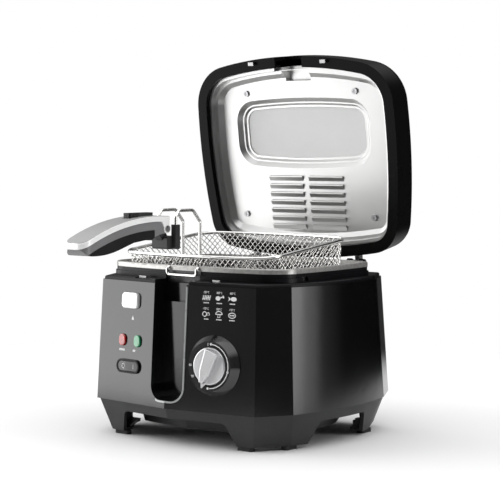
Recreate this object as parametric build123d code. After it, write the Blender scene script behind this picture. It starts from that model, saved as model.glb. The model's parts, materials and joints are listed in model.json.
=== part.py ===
"""Domestic deep fryer: housing, oil pan, lifting basket with fold-down handle, and spring-open lid.

Millimetres. +Z up, front towards -Y. The origin is on the floor under the middle of the housing.
The lid is drawn closed and swung open about its hinge; the basket is drawn raised, front edge low.
"""
import os
from math import atan2, cos, degrees, radians, sin

from build123d import *

# ---------------------------------------------------------------- housing
SHELL_BASE_Z, SHELL_TOP_Z = 36.0, 156.0
SHELL_WALL = 2.5
DECK_THICK = 2.5
# corner points (x, y) of the right half of the plan, at the bottom and at the top of the housing
PLAN_BASE = {"nose": -124.0, "front": (101.0, -111.0), "side": (121.0, -77.0), "bulge": 131.5,
             "rear_side": (120.0, 77.0), "rear": (98.0, 118.0)}
PLAN_TOP = {"nose": -116.5, "front": (98.0, -105.0), "side": (114.5, -72.0), "bulge": 125.5,
            "rear_side": (113.5, 72.0), "rear": (92.0, 112.0)}
SKIRT_FOOT_INSET = 11.0          # how far the base skirt leans in from the housing's lower edge
SKIRT_TOP_INSET = 2.0
SKIRT_WALL = 3.0
SOLE_WIDTH = 12.0                # floor inside each foot that carries the rubber pads
FLOOR_Z = (32.6, 35.2)           # bottom plate
PAD_HEIGHT = 4.0
TRAY_INSET, TRAY_LOW_Z, TRAY_WALL = 30.0, 12.0, 2.4   # the bottom plate is dished this far down
BASE_SCREWS = [(side * x, y) for side in (-1, 1) for x, y in ((86, -92), (96, 84))]
ARCH_TOP_Z = 26.0
FRONT_ARCH = (64.0, 73.0)        # half widths at the top and at the bottom
SIDE_ARCH = (37.0, 47.0)

# ---------------------------------------------------------------- handle recess in the front
RECESS_HALF = 20.5
RECESS_FLOOR_Z = 43.4
RECESS_BACK_Y = -102.0
RECESS_CORNER = 14.0
LEDGE_Z = 138.0
SLOT_BACK_Y = -95.8
RECESS_WALL = 2.2

# ---------------------------------------------------------------- lid, drawn closed
HINGE_Y, HINGE_Z = 107.4, 167.6
LID_OPEN = 81.9                  # degrees from closed to the open stop
LID_RIM_Z = 161.8
LID_TOP_Z = 200.8
LID_EDGE_ROUND = 15.0
LID_WALL = 3.0
LID_RIM_WIDTH = 11.6
# plan outline of the lid: x, y and the direction of the outward normal in degrees
LID_POINTS = [(0, -111.6, -90), (92, -102.5, -78.7), (116.5, -88.3, -40.8), (127.7, -62, -3),
              (127.9, 2, 2.7), (121.7, 66, 8.4), (112.9, 84.3, 44.4), (95, 94, 80.4), (0, 102, 90)]
SEAL_Z = 173.3                   # underside of the plate's outer zone, just over the pan rim
FIELD_Z = 177.8                  # underside of the plate's middle field
SHEET = 0.9
NOTCH_HALF = 17.5
NOTCH_TOP_Z = 184.5
CHANNEL_Z = 183.3
WINDOW = {"half": 87.5, "front": -64.0, "rear": 6.5, "corner": 24.0, "bow": 2.5}
WINDOW_RING_Z, WINDOW_GLASS_Z = 181.9, 183.9
WINDOW_OPENING = 10.5            # how far the glazed opening is inside the window's outline
FLANGE_Z = 166.8                 # underside of the plate's outer flange
FLANGE_WALL = (14.2, 14.9)       # insets of the flange's wall, low and high
LOUVRE_ROWS, LOUVRE_PITCH = 7, 8.75
LOUVRE_LENGTH, LOUVRE_FIRST_Y, LOUVRE_INNER_X = 44.5, 18.0, 4.0
PLATE_SCREWS = [(71.4, -71.9), (84.4, 60.0)]

# ---------------------------------------------------------------- oil pan and basket
PAN_RIM_TOP_Z, PAN_RIM_LOW_Z = 173.0, 168.0
PAN_RIM_INSET, PAN_MOUTH_INSET, PAN_FLOOR_INSET = 16.0, 19.0, 25.5
PAN_FLOOR_Z = 50.0
PAN_SHEET = 1.2
REST_HALF, WIRE_R = 18.6, 1.5
BASKET_TILT = 6.5
BASKET_HALF, BASKET_FRONT, BASKET_REAR, BASKET_BOW = 94.5, -79.5, 50.5, 7.0
BASKET_CORNER, BASKET_DEPTH, BASKET_DRAFT = 20.0, 70.0, 8.0
BASKET_RIM_Z = 182.5
BASKET_SHEET = 1.4
LEG_X = 11.0
LEG_Y = BASKET_FRONT - BASKET_BOW + 3.4   # the legs stand just inside the front of the rim

# ---------------------------------------------------------------- handle
PIVOT_Y, PIVOT_Z, PIVOT_R = -135.0, 210.6, 2.5
GRIP_HALF, GRIP_NOSE_R = 13.2, 8.5
GRIP_TIP_Y, GRIP_REAR_Y = -247.0, -131.5
TRIM_THICK, TRIM_DROP = 0.9, 5.0  # bright band round the handle, and its lower edge under the top line
BASE_DROP, BASE_REAR_Y = 13.2, -152.0     # black underside of the handle

# ---------------------------------------------------------------- front controls: x, z on the face
KNOB_AT = (55.0, 81.0)
KNOB_R, KNOB_RING_R, KNOB_RING_FRONT_R = 17.8, 29.0, 23.6
KNOB_REST = 20.0                 # clockwise turn of the pointer from straight down
SWITCH_AT, SWITCH_SIZE = (-54.0, 72.0), (33.0, 13.6)
ROCKER_TIP = 4.0                 # degrees that the rocker leans at rest
BUTTON_AT, BUTTON_SIZE = (-53.5, 137.0), (24.0, 16.0)
RED_AT, GREEN_AT = (-64.0, 97.5), (-42.0, 97.5)
LAMP_SIZE = (9.4, 12.0)
FIT = 0.3                        # clearance round moving and set-in pieces


# ================================================================ shared helpers
def both_sides(shape):
    """The shape and its mirror image across the middle plane, as one group."""
    return Compound(children=list(shape.solids()) + list(mirror(shape, about=Plane.YZ).solids()))


def block(x0, x1, y0, y1, z0, z1):
    """A box between two corners."""
    return Pos((x0 + x1) / 2, (y0 + y1) / 2, (z0 + z1) / 2) * Box(x1 - x0, y1 - y0, z1 - z0)


def slab(face, z0, z1):
    """A plan outline raised from z0 to z1."""
    return extrude(Pos(0, 0, z0) * face, z1 - z0)


def tapered(low_face, z0, high_face, z1):
    """A straight-sided transition between two plan outlines."""
    return loft([Pos(0, 0, z0) * low_face, Pos(0, 0, z1) * high_face], ruled=True)


def rod_x(x0, x1, y, z, radius):
    """A round bar along X."""
    return Pos((x0 + x1) / 2, y, z) * Rot(0, 90, 0) * Cylinder(radius, x1 - x0)


def wire(points, radius, bend):
    """A bent round wire through the given points."""
    path = FilletPolyline(*points, radius=bend)
    start = Plane(origin=path @ 0, z_dir=path % 0)
    return sweep(start * Circle(radius), path=path)


def swing_open(shape):
    """Turn a piece drawn on the closed lid to where it is with the lid open."""
    about = Axis((0, HINGE_Y, HINGE_Z), (1, 0, 0))
    return shape.rotate(about, -LID_OPEN)


# ================================================================ plan outlines
def body_outline(share, inset=0.0):
    """Housing plan at a height from 0 (lower edge) to 1 (upper edge), drawn in by inset."""
    def between(key, axis=None):
        low, high = PLAN_BASE[key], PLAN_TOP[key]
        if axis is not None:
            low, high = low[axis], high[axis]
        return low + (high - low) * share

    def corner(key):
        x, y = between(key, 0), between(key, 1)
        return x - inset, y - inset * (1 if y > 0 else -1)

    nose = (0, between("nose") + inset)
    front, side, rear_side, rear = (corner(key) for key in ("front", "side", "rear_side", "rear"))
    bulge = (between("bulge") - inset, 0)
    with BuildSketch() as sketch:
        with BuildLine():
            Polyline(nose, front, side)
            ThreePointArc(side, bulge, rear_side)
            Polyline(rear_side, rear, (0, rear[1]))
            mirror(about=Plane.YZ)
        make_face()
    return sketch.sketch


def lid_outline(inset=0.0):
    """Lid plan, drawn in evenly by inset. The pan, the collar and the lid plate share it."""
    points = [(x - inset * cos(radians(n)), y - inset * sin(radians(n))) for x, y, n in LID_POINTS]
    nose, front, front_mid, side, side_mid, rear_side, rear_mid, rear, tail = points
    with BuildSketch() as sketch:
        with BuildLine():
            ThreePointArc((-front[0], front[1]), nose, front)
            for start, middle, end in ((front, front_mid, side), (side, side_mid, rear_side),
                                       (rear_side, rear_mid, rear)):
                ThreePointArc(start, middle, end)
                ThreePointArc(*[(-x, y) for x, y in (start, middle, end)])
            ThreePointArc(rear, tail, (-rear[0], rear[1]))
        make_face()
    return sketch.sketch


def bowed_outline(half, front, rear, corner, bow=0.0, inset=0.0):
    """A round-cornered outline whose front and rear edges may bow outwards."""
    half, front, rear = half - inset, front + inset, rear - inset
    corner = max(corner - inset, 4.0)
    cut = corner * (1 - cos(radians(45)))
    with BuildSketch() as sketch:
        with BuildLine():
            for side in (-1, 1):
                for edge, turn in ((front, 1), (rear, -1)):
                    ThreePointArc((side * (half - corner), edge), (side * (half - cut), edge + turn * cut),
                                  (side * half, edge + turn * corner))
                Line((side * half, front + corner), (side * half, rear - corner))
            for edge, turn in ((front, -1), (rear, 1)):
                ends = (-(half - corner), edge), (half - corner, edge)
                if bow:
                    ThreePointArc(ends[0], (0, edge + turn * bow), ends[1])
                else:
                    Line(*ends)
        make_face()
    return sketch.sketch


def front_frame(x, z):
    """Frame on the front face at (x, z): local x along the face, y up it, z straight out of it."""
    share = (z - SHELL_BASE_Z) / (SHELL_TOP_Z - SHELL_BASE_Z)

    def face_y(at_share):
        nose = PLAN_BASE["nose"] + (PLAN_TOP["nose"] - PLAN_BASE["nose"]) * at_share
        edge = [PLAN_BASE["front"][k] + (PLAN_TOP["front"][k] - PLAN_BASE["front"][k]) * at_share
                for k in (0, 1)]
        return nose + (edge[1] - nose) * abs(x) / edge[0]

    turn = (1 if x > 0 else -1) * degrees(atan2(PLAN_TOP["front"][1] - PLAN_TOP["nose"], PLAN_TOP["front"][0]))
    lean = degrees(atan2(face_y(1) - face_y(0), SHELL_TOP_Z - SHELL_BASE_Z))
    out = Vector(0, -1, 0).rotate(Axis.X, -lean).rotate(Axis.Z, turn)
    return Plane(origin=(x, face_y(share), z), x_dir=(cos(radians(turn)), sin(radians(turn)), 0), z_dir=out)


def on_front(at, shape):
    """Place a piece that is drawn flat, facing +Z, on the front face."""
    return front_frame(*at).location * shape


def oval(size, thick, z0=0.0):
    """A slot-shaped pad, thick in Z."""
    width, height = size
    radius = min(width, height) / 2 - 0.01
    return Pos(0, 0, z0) * extrude(RectangleRounded(width, height, radius), thick)


# ================================================================ housing pieces
def recess_volume(grow=0.0):
    """The handle recess with its deeper slot above the ledge, grown to leave a wall round it."""
    half = RECESS_HALF + grow
    lower = block(-half, half, -150, RECESS_BACK_Y + grow, RECESS_FLOOR_Z - grow, SHELL_TOP_Z + 20)
    floor_edges = lower.edges().filter_by(Axis.Y).group_by(Axis.Z)[0]
    lower = fillet(floor_edges, RECESS_CORNER + grow)
    slot = block(-half, half, -150, SLOT_BACK_Y + grow, LEDGE_Z - grow, SHELL_TOP_Z + 20)
    return lower + slot


def control_holes():
    """Cuts through the front wall for everything that is set into it."""
    deep = 14.0
    cuts = [on_front(KNOB_AT, Pos(0, 0, -deep / 2) * Cylinder(4.2, deep * 2))]
    for at, size in ((SWITCH_AT, SWITCH_SIZE), (RED_AT, LAMP_SIZE), (GREEN_AT, LAMP_SIZE)):
        width, height = size[0] + 2 * FIT - 3, size[1] + 2 * FIT - 3
        cuts.append(on_front(at, oval((width, height), deep * 2, -deep)))
    width, height = BUTTON_SIZE[0] + 2 * FIT, BUTTON_SIZE[1] + 2 * FIT
    cuts.append(on_front(BUTTON_AT, Pos(0, 0, -deep) * extrude(RectangleRounded(width, height, 5), deep * 2)))
    return cuts


def make_housing():
    outer = tapered(body_outline(0), SHELL_BASE_Z, body_outline(1), SHELL_TOP_Z)
    inner = tapered(body_outline(0, SHELL_WALL), SHELL_BASE_Z - 1, body_outline(1, SHELL_WALL),
                    SHELL_TOP_Z - DECK_THICK)
    shell = outer - (inner - recess_volume(RECESS_WALL)) - recess_volume()
    shell -= slab(lid_outline(PAN_MOUTH_INSET - 3), SHELL_TOP_Z - 10, SHELL_TOP_Z + 5)
    for cut in control_holes():
        shell -= cut
    rear_y = PLAN_BASE["rear"][1]
    shell -= Pos(-70, rear_y, 60) * Rot(90, 0, 0) * Cylinder(7, 30)
    for row in range(4):
        for column in range(5):
            shell -= block(20 + 14 * column, 30 + 14 * column, rear_y - 20, rear_y + 20,
                           52 + 8 * row, 55 + 8 * row)
    return shell


def make_base_skirt():
    low_z = PAD_HEIGHT
    outer = tapered(body_outline(0, SKIRT_FOOT_INSET), low_z, body_outline(0, SKIRT_TOP_INSET), SHELL_BASE_Z)
    inner = tapered(body_outline(0, SKIRT_FOOT_INSET + SKIRT_WALL), low_z + SKIRT_WALL,
                    body_outline(0, SKIRT_TOP_INSET + SKIRT_WALL), SHELL_BASE_Z + 1)
    skirt = outer - inner - slab(body_outline(0, SKIRT_FOOT_INSET + SOLE_WIDTH), low_z - 1, SHELL_BASE_Z)
    for (top, bottom), turn in ((FRONT_ARCH, 0), (SIDE_ARCH, 90)):
        with BuildSketch(Plane.XZ) as arch:
            with BuildLine():
                FilletPolyline((-bottom - 2, low_z - 5), (-top, ARCH_TOP_Z), (top, ARCH_TOP_Z),
                               (bottom + 2, low_z - 5), radius=6, close=False)
                Line((bottom + 2, low_z - 5), (-bottom - 2, low_z - 5))
            make_face()
        skirt -= Rot(0, 0, turn) * extrude(arch.sketch, 200, both=True)
    return skirt


def make_foot_pads():
    """Two rubber pads under each corner of the skirt."""
    corner = [block(70, 88, -99.5, -92.5, 0, PAD_HEIGHT), block(101.5, 109.0, -72, -54, 0, PAD_HEIGHT),
              block(101.5, 109.0, 54, 72, 0, PAD_HEIGHT), block(66, 84, 98.0, 105.0, 0, PAD_HEIGHT)]
    pads = [fillet(pad.edges().filter_by(Axis.Z), 2.5) for pad in corner]
    return both_sides(Compound(children=pads))


def make_bottom_plate():
    plate = slab(body_outline(0, SKIRT_TOP_INSET + SKIRT_WALL + 1.6), *FLOOR_Z)
    plate += tapered(body_outline(0, TRAY_INSET + 4), TRAY_LOW_Z, body_outline(0, TRAY_INSET), FLOOR_Z[0] + 0.1)
    plate -= tapered(body_outline(0, TRAY_INSET + 4 + TRAY_WALL), TRAY_LOW_Z + TRAY_WALL,
                     body_outline(0, TRAY_INSET + TRAY_WALL), FLOOR_Z[1] + 0.1)
    for row in range(6):
        for column in (-1, 1):
            plate -= block(column * 30 - 22, column * 30 + 22, -40 + 14 * row, -36 + 14 * row,
                           TRAY_LOW_Z - 1, TRAY_LOW_Z + TRAY_WALL + 1)
    for x, y in BASE_SCREWS:
        plate -= Pos(x, y, FLOOR_Z[0]) * Cylinder(2.2, 8)
    return plate


def make_base_screws():
    """Screws that hold the bottom plate to the posts in the housing."""
    screws = []
    for x, y in BASE_SCREWS:
        head_z = FLOOR_Z[0] - 1.1
        screw = Pos(x, y, head_z) * Cylinder(3.6, 2.2) + Pos(x, y, head_z + 8) * Cylinder(1.9, 16)
        screw -= Pos(x, y, head_z - 1.1) * (Box(4.4, 0.9, 1.6) + Box(0.9, 4.4, 1.6))
        screws += screw.solids()
    return Compound(children=screws)


def make_screw_posts():
    """Bosses that take the bottom plate's screws."""
    posts = []
    for x, y in BASE_SCREWS:
        z0, z1 = FLOOR_Z[1], SHELL_BASE_Z + 40
        posts.append(Pos(x, y, (z0 + z1) / 2) * (Cylinder(5, z1 - z0) - Cylinder(2.0, z1 - z0)))
    return Compound(children=posts)


def make_deck_collar():
    """Deck round the pan with the stepped collar that carries the pan's rim."""
    deck = slab(body_outline(1, 1.2), SHELL_TOP_Z, SHELL_TOP_Z + 3.6)
    deck = fillet(deck.edges().group_by(Axis.Z)[-1], 2.2)
    step = slab(lid_outline(PAN_RIM_INSET - 1.0), SHELL_TOP_Z, SHELL_TOP_Z + 8.0)
    collar = slab(lid_outline(PAN_RIM_INSET + 0.4), SHELL_TOP_Z, PAN_RIM_LOW_Z)
    ring = deck + step + collar - slab(lid_outline(PAN_MOUTH_INSET - 1.5), SHELL_TOP_Z - 1, PAN_RIM_LOW_Z + 1)
    ring -= block(-RECESS_HALF - 1.2, RECESS_HALF + 1.2, -150, SLOT_BACK_Y + 6, SHELL_TOP_Z - 1, PAN_RIM_LOW_Z + 1)
    for side in (-1, 1):
        ring -= block(side * 47 - 5.2, side * 47 + 5.2, -108.6, -99.0, SHELL_TOP_Z + 0.8, SHELL_TOP_Z + 6)
        ring -= block(side * 110 - 4, side * 110 + 4, -52, -44, SHELL_TOP_Z + 4.5, SHELL_TOP_Z + 9)
    return ring


def make_catch_tabs():
    """Bright keeper tabs beside the collar that the lid's catches come down behind."""
    tab = block(42.6, 51.4, -102.4, -100.6, SHELL_TOP_Z + 0.8, SHELL_TOP_Z + 5.2)
    tab += block(42.6, 51.4, -102.4, -99.2, SHELL_TOP_Z + 0.8, SHELL_TOP_Z + 2.4)
    return both_sides(tab)


def make_recess_trim():
    """Pale bead up the right side of the recess and round its foot."""
    outer = recess_volume(1.7)
    inner = recess_volume(0)
    band = (outer - inner) & block(8 - RECESS_HALF, 60, -130, -100, 30, SHELL_TOP_Z - 1.5)
    bead_front = tapered(body_outline(0, -0.9), SHELL_BASE_Z, body_outline(1, -0.9), SHELL_TOP_Z)
    bead_back = tapered(body_outline(0, 0.0), SHELL_BASE_Z, body_outline(1, 0.0), SHELL_TOP_Z)
    return band & (bead_front - bead_back)


def make_hinge_brackets():
    """Two ears a side on the rear deck that hold the hinge pins."""
    ears = []
    for x in (56.0, 72.0):
        foot = block(x - 2, x + 2, HINGE_Y - 6.4, HINGE_Y + 2.6, SHELL_TOP_Z + 3.6, HINGE_Z)
        ear = foot + rod_x(x - 2, x + 2, HINGE_Y - 0.4, HINGE_Z, 5.2)
        ears.append(ear - rod_x(x - 4, x + 4, HINGE_Y, HINGE_Z, 2.0))
    return both_sides(Compound(children=ears))


def make_hinge_pins():
    pin = rod_x(53.0, 75.0, HINGE_Y, HINGE_Z, 2.0) + rod_x(52.0, 53.0, HINGE_Y, HINGE_Z, 3.2)
    return both_sides(pin)


def make_hinge_spring():
    """Torsion spring round the right pin that throws the lid open."""
    turns = [rod_x(59.6 + 1.5 * k, 60.8 + 1.5 * k, HINGE_Y, HINGE_Z, 3.9)
             - rod_x(59 + 1.5 * k, 62 + 1.5 * k, HINGE_Y, HINGE_Z, 2.7) for k in range(2)]
    return Compound(children=turns)


def make_oil_pan():
    wall = tapered(lid_outline(PAN_FLOOR_INSET - PAN_SHEET), PAN_FLOOR_Z,
                   lid_outline(PAN_MOUTH_INSET - PAN_SHEET), PAN_RIM_TOP_Z - 0.6)
    rim = slab(lid_outline(PAN_RIM_INSET), PAN_RIM_LOW_Z, PAN_RIM_TOP_Z)
    rim = fillet(rim.edges().group_by(Axis.Z)[-1], 1.6)
    pan = wall + rim - tapered(lid_outline(PAN_FLOOR_INSET), PAN_FLOOR_Z + 2, lid_outline(PAN_MOUTH_INSET),
                               PAN_RIM_TOP_Z + 0.5)
    for side in (-1, 1):
        x = side * REST_HALF
        pan -= block(x - WIRE_R - FIT, x + WIRE_R + FIT, -110, -84, 169.7, PAN_RIM_TOP_Z + 1)
    return pan


def make_basket_rest():
    """Bent wire in front of the pan rim that the basket handle rests on."""
    top_z, low_z, out_y, in_y = 171.3, 163.6, -97.8, -88.5
    points = [(-REST_HALF, in_y, top_z), (-REST_HALF, out_y, top_z), (-REST_HALF, out_y, low_z),
              (REST_HALF, out_y, low_z), (REST_HALF, out_y, top_z), (REST_HALF, in_y, top_z)]
    return wire(points, WIRE_R - 0.05, 3.2)


def make_heater():
    """Tubular heating element under the pan, with its two cold ends."""
    z = PAN_FLOOR_Z - 4.2
    loops = bowed_outline(66, -52, 46, 24)
    track = loops.wires()[0]
    start = Plane(origin=track @ 0, z_dir=track % 0)
    ring = Pos(0, 0, z) * sweep(start * Circle(3.9), path=track)
    tails = [Pos(x, 62, z) * Rot(90, 0, 0) * Cylinder(3.2, 26) for x in (-14, 14)]
    return ring + tails[0] + tails[1]


def make_heat_shield():
    """Reflector tray between the element and the bottom plate."""
    tray = slab(bowed_outline(84, -70, 62, 26), 37.2, 41.8)
    return tray - slab(bowed_outline(84, -70, 62, 26, 0, 0.8), 38.0, 50)


def make_thermostat():
    """Thermostat body behind the knob, with its mounting collar."""
    body = Pos(0, 0, -13) * extrude(RectangleRounded(24, 20, 3), 9.0)
    collar = Pos(0, 0, -4) * extrude(Circle(7.5), 0.8)
    return on_front(KNOB_AT, body + collar - Pos(0, 0, -10) * Cylinder(3.3, 30))


def make_thermal_fuse():
    clip = block(-8, 8, -3, 3, 48.6, 49.9)
    return clip + Pos(0, 0, 46.6) * Rot(0, 90, 0) * Cylinder(2.6, 18)


def make_terminal_block():
    body = block(-84, -56, 92, 106, 72, 84)
    for k in range(3):
        body -= Pos(-78 + 8 * k, 99, 84) * Cylinder(2.2, 8)
    return body


def make_cord_inlet():
    """Gland in the rear wall where the mains cord enters."""
    body = Pos(-70, PLAN_BASE["rear"][1] + 1.0, 60) * Rot(90, 0, 0) * (Cylinder(9.5, 3.2) - Cylinder(4, 3.2))
    sleeve = Pos(-70, PLAN_BASE["rear"][1] - 6, 60) * Rot(90, 0, 0) * (Cylinder(6.6, 12) - Cylinder(4, 12))
    return body + sleeve


# ================================================================ front controls
def make_knob_ring():
    cone = Pos(0, 0, 4.6) * Cone(KNOB_RING_R, KNOB_RING_FRONT_R, 8.4)
    bore = Pos(0, 0, 7) * Cylinder(KNOB_R + 1.2, 9)
    return on_front(KNOB_AT, cone - bore - Cylinder(4.2, 30))


def make_knob():
    """Turned disc with a raised finger blade whose pointer reaches over the scale ring."""
    disc = fillet((Pos(0, 0, 6.4) * Cylinder(KNOB_R, 7.2)).edges().group_by(Axis.Z)[-1], 1.2)
    blade = Pos(0, 0, 9.5) * extrude(make_face(Polyline((-7.4, 15.3), (7.4, 15.3), (5.6, -6.0), (2.2, -16.8),
                                                        (-2.2, -16.8), (-5.6, -6.0), (-7.4, 15.3))), 6.0)
    blade = fillet(blade.edges().group_by(Axis.Z)[-1], 1.4)
    pointer = Pos(0, 0, 9.1) * extrude(make_face(Polyline((-3.4, -16.5), (3.4, -16.5), (0.4, -22.4),
                                                          (-0.4, -22.4), (-3.4, -16.5))), 0.9)
    return on_front(KNOB_AT, Rot(0, 0, -KNOB_REST) * (disc + blade + pointer))


def make_knob_shaft():
    return on_front(KNOB_AT, Pos(0, 0, -7.4) * (Cylinder(3.0, 20.2)))


def make_switch_bezel():
    outer, inner = oval(SWITCH_SIZE, 2.2, FIT / 2), oval((SWITCH_SIZE[0] - 3.2, SWITCH_SIZE[1] - 3.2), 60, -30)
    return on_front(SWITCH_AT, outer - inner)


def make_switch_body():
    size = (SWITCH_SIZE[0] - 6, SWITCH_SIZE[1] + 2)
    return on_front(SWITCH_AT, Pos(0, 0, -20) * extrude(RectangleRounded(*size, 2), 14.0))


def make_switch_rocker():
    """Rocker paddle, one end down, turning about the short axis of its oval."""
    width, height = SWITCH_SIZE[0] - 4.2, SWITCH_SIZE[1] - 4.2
    paddle = oval((width, height), 5.0, -3.2)
    wedge = Pos(0, 0, 3.4) * Rot(0, ROCKER_TIP, 0) * Box(60, 30, 3.6)
    return on_front(SWITCH_AT, paddle - wedge)


def make_release_button():
    cap = Pos(0, 0, -5) * extrude(RectangleRounded(*BUTTON_SIZE, 4.7), 8.2)
    cap = fillet(cap.edges().group_by(Axis.Z)[-1], 1.6)
    stem = Pos(0, 0, -7.4) * Box(8, 6, 4.8) + Pos(0, 4.2, -8.5) * Box(8, 3.4, 7.0)
    guide = Pos(0, -2.2, -13.5) * Cylinder(1.9, 8)
    return on_front(BUTTON_AT, cap + stem + guide)


def make_button_spring():
    """Return spring round the button's guide pin, drawn at its pressed length."""
    coil = Pos(0, -2.2, -16.2) * (Cylinder(3.2, 7.0) - Cylinder(2.4, 7.0))
    return on_front(BUTTON_AT, coil)


def make_latch():
    """Latch bar that the button pushes back; its nose holds the lid's catch."""
    bar = Pos(3, 5.4, -13.4) * Box(26, 4.4, 2.6)
    return on_front(BUTTON_AT, bar + Pos(6.5, 9.0, -13.4) * Box(9, 6, 2.6))


def make_lamp(at):
    lens = oval(LAMP_SIZE, 1.9, FIT / 2)
    stem = oval((LAMP_SIZE[0] - 3, LAMP_SIZE[1] - 3), 5.0, -4.8)
    return on_front(at, fillet(lens.edges().group_by(Axis.Z)[-1], 1.0) + stem)


def make_lamp_holders():
    bulbs = [on_front(at, Pos(0, 0, -11) * Cylinder(3.2, 11)) for at in (RED_AT, GREEN_AT)]
    return Compound(children=[bulb.solid() for bulb in bulbs])


# ================================================================ lid pieces
def pressed_form(lift):
    """Everything under the plate's pressed surface; two of these a sheet apart leave the plate."""
    outer = lid_outline(LID_RIM_WIDTH + 0.3)
    form = slab(outer, LID_RIM_Z - 5, SEAL_Z + lift)
    form += tapered(lid_outline(18.6), SEAL_Z + lift - 0.01, lid_outline(23.4), FIELD_Z + lift)
    form += tapered(bowed_outline(**WINDOW), FIELD_Z + lift - 0.01, bowed_outline(**WINDOW, inset=4.6),
                    WINDOW_RING_Z + lift)
    form += tapered(bowed_outline(**WINDOW, inset=6.2), WINDOW_RING_Z + lift - 0.01,
                    bowed_outline(**WINDOW, inset=8.2), WINDOW_GLASS_Z + lift)
    return form + handle_channel(lift)


def handle_channel(lift):
    """Channel across the plate's front edge that the basket's wires pass through."""
    low, high = FIELD_Z - 14 + lift, CHANNEL_Z + lift
    wide, narrow = NOTCH_HALF + 0.5, NOTCH_HALF - 3.0
    section = Polyline((-wide, low), (wide, low), (wide, SEAL_Z + lift), (narrow, high), (-narrow, high),
                       (-wide, SEAL_Z + lift), (-wide, low))
    return Pos(0, -84.5, 0) * extrude(make_face(Plane.XZ * section), 15.2)


def louvre_places():
    for row in range(LOUVRE_ROWS):
        for side in (-1, 1):
            yield side * (LOUVRE_INNER_X + LOUVRE_LENGTH / 2), LOUVRE_FIRST_Y + LOUVRE_PITCH * row


def make_lid_plate():
    """Pressed sheet-metal inner plate with its window opening, louvres and handle channel."""
    plate = pressed_form(SHEET) - pressed_form(0)
    plate &= slab(lid_outline(LID_RIM_WIDTH + 0.3), LID_RIM_Z, LID_TOP_Z)
    low, high = FLANGE_WALL
    outer = (slab(lid_outline(LID_RIM_WIDTH + 0.3), FLANGE_Z, FLANGE_Z + SHEET)
             + tapered(lid_outline(low), FLANGE_Z, lid_outline(high), SEAL_Z + SHEET))
    plate += outer - tapered(lid_outline(low + 0.7), FLANGE_Z - 0.1, lid_outline(high + 0.7), SEAL_Z + SHEET + 0.1)
    plate -= block(-NOTCH_HALF - 5, NOTCH_HALF + 5, -112, -84, LID_RIM_Z - 8, SEAL_Z - 0.1)
    plate -= slab(bowed_outline(**WINDOW, inset=WINDOW_OPENING), FIELD_Z, LID_TOP_Z)
    for x, y in louvre_places():
        half = LOUVRE_LENGTH / 2
        plate -= block(x - half, x + half, y - 1.0, y + 1.3, FIELD_Z - 1, FIELD_Z + 2)
        hood = Polyline((y - 0.9, FIELD_Z - 2.0), (y + 0.2, FIELD_Z - 2.0), (y + 5.0, FIELD_Z + 0.2),
                        (y + 5.0, FIELD_Z + 0.7), (y + 3.4, FIELD_Z + 0.7), (y - 0.9, FIELD_Z - 1.2),
                        (y - 0.9, FIELD_Z - 2.0))
        plate += Pos(x - half, 0, 0) * extrude(make_face(Plane.YZ * hood), LOUVRE_LENGTH)
    for x, y in PLATE_SCREWS:
        for side in (-1, 1):
            plate -= Pos(side * x, y, FIELD_Z) * Cylinder(2.2, 6)
    return swing_open(plate)


def make_lid_shell():
    height = LID_TOP_Z - LID_RIM_Z
    body = tapered(lid_outline(0), LID_RIM_Z, lid_outline(2.0), LID_TOP_Z)
    body = fillet(body.edges().group_by(Axis.Z)[-1], LID_EDGE_ROUND)
    mouth = slab(lid_outline(LID_RIM_WIDTH), LID_RIM_Z - 1, LID_RIM_Z + height / 2)
    hollow = slab(lid_outline(5.0), LID_RIM_Z + 3, LID_TOP_Z - LID_WALL)
    hollow = fillet(hollow.edges().group_by(Axis.Z)[-1], LID_EDGE_ROUND - LID_WALL)
    ring = slab(lid_outline(LID_RIM_WIDTH - 2.4), LID_RIM_Z, SEAL_Z - 0.05) - mouth
    shell = body - mouth - (hollow - ring)
    shell -= block(-NOTCH_HALF, NOTCH_HALF, -130, -90, LID_RIM_Z - 2, NOTCH_TOP_Z)
    shell -= slab(bowed_outline(**WINDOW, inset=WINDOW_OPENING + 2.0), LID_TOP_Z - 10, LID_TOP_Z + 5)
    for row in range(5):
        for side in (-1, 1):
            x, y = side * 24, 24 + 9 * row
            shell -= block(x - 18, x + 18, y - 1.4, y + 1.4, LID_TOP_Z - 8, LID_TOP_Z + 4)
    return swing_open(shell)


def make_window_inner():
    pane = slab(bowed_outline(**WINDOW, inset=WINDOW_OPENING - 1.6), WINDOW_GLASS_Z + SHEET + 0.05,
                WINDOW_GLASS_Z + SHEET + 2.6)
    return swing_open(pane)


def make_window_outer():
    return swing_open(slab(bowed_outline(**WINDOW, inset=WINDOW_OPENING + 2.2), LID_TOP_Z - LID_WALL, LID_TOP_Z - 0.4))


def make_window_gasket():
    """Seal between the two panes."""
    z0, z1 = WINDOW_GLASS_Z + SHEET + 2.65, LID_TOP_Z - LID_WALL - 0.05
    ring = (slab(bowed_outline(**WINDOW, inset=WINDOW_OPENING - 1.0), z0, z1)
            - slab(bowed_outline(**WINDOW, inset=WINDOW_OPENING + 2.0), z0, z1))
    return swing_open(ring)


def make_grease_filter():
    """Mesh pad behind the louvres."""
    return swing_open(block(-52, 52, 13, 76, FIELD_Z + 2.2, FIELD_Z + 5.2))


def make_carbon_filter():
    return swing_open(block(-52, 52, 13, 76, FIELD_Z + 5.4, FIELD_Z + 13.4))


def make_plate_screws():
    screws = []
    for x, y in PLATE_SCREWS:
        head = Pos(x, y, FIELD_Z - 0.9) * Cylinder(3.3, 1.7)
        head -= Pos(x, y, FIELD_Z - 1.6) * (Box(3.8, 0.8, 1.2) + Box(0.8, 3.8, 1.2))
        screws.append(head + Pos(x, y, FIELD_Z + 5) * Cylinder(1.9, 12))
    return swing_open(both_sides(Compound(children=screws)))


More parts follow.
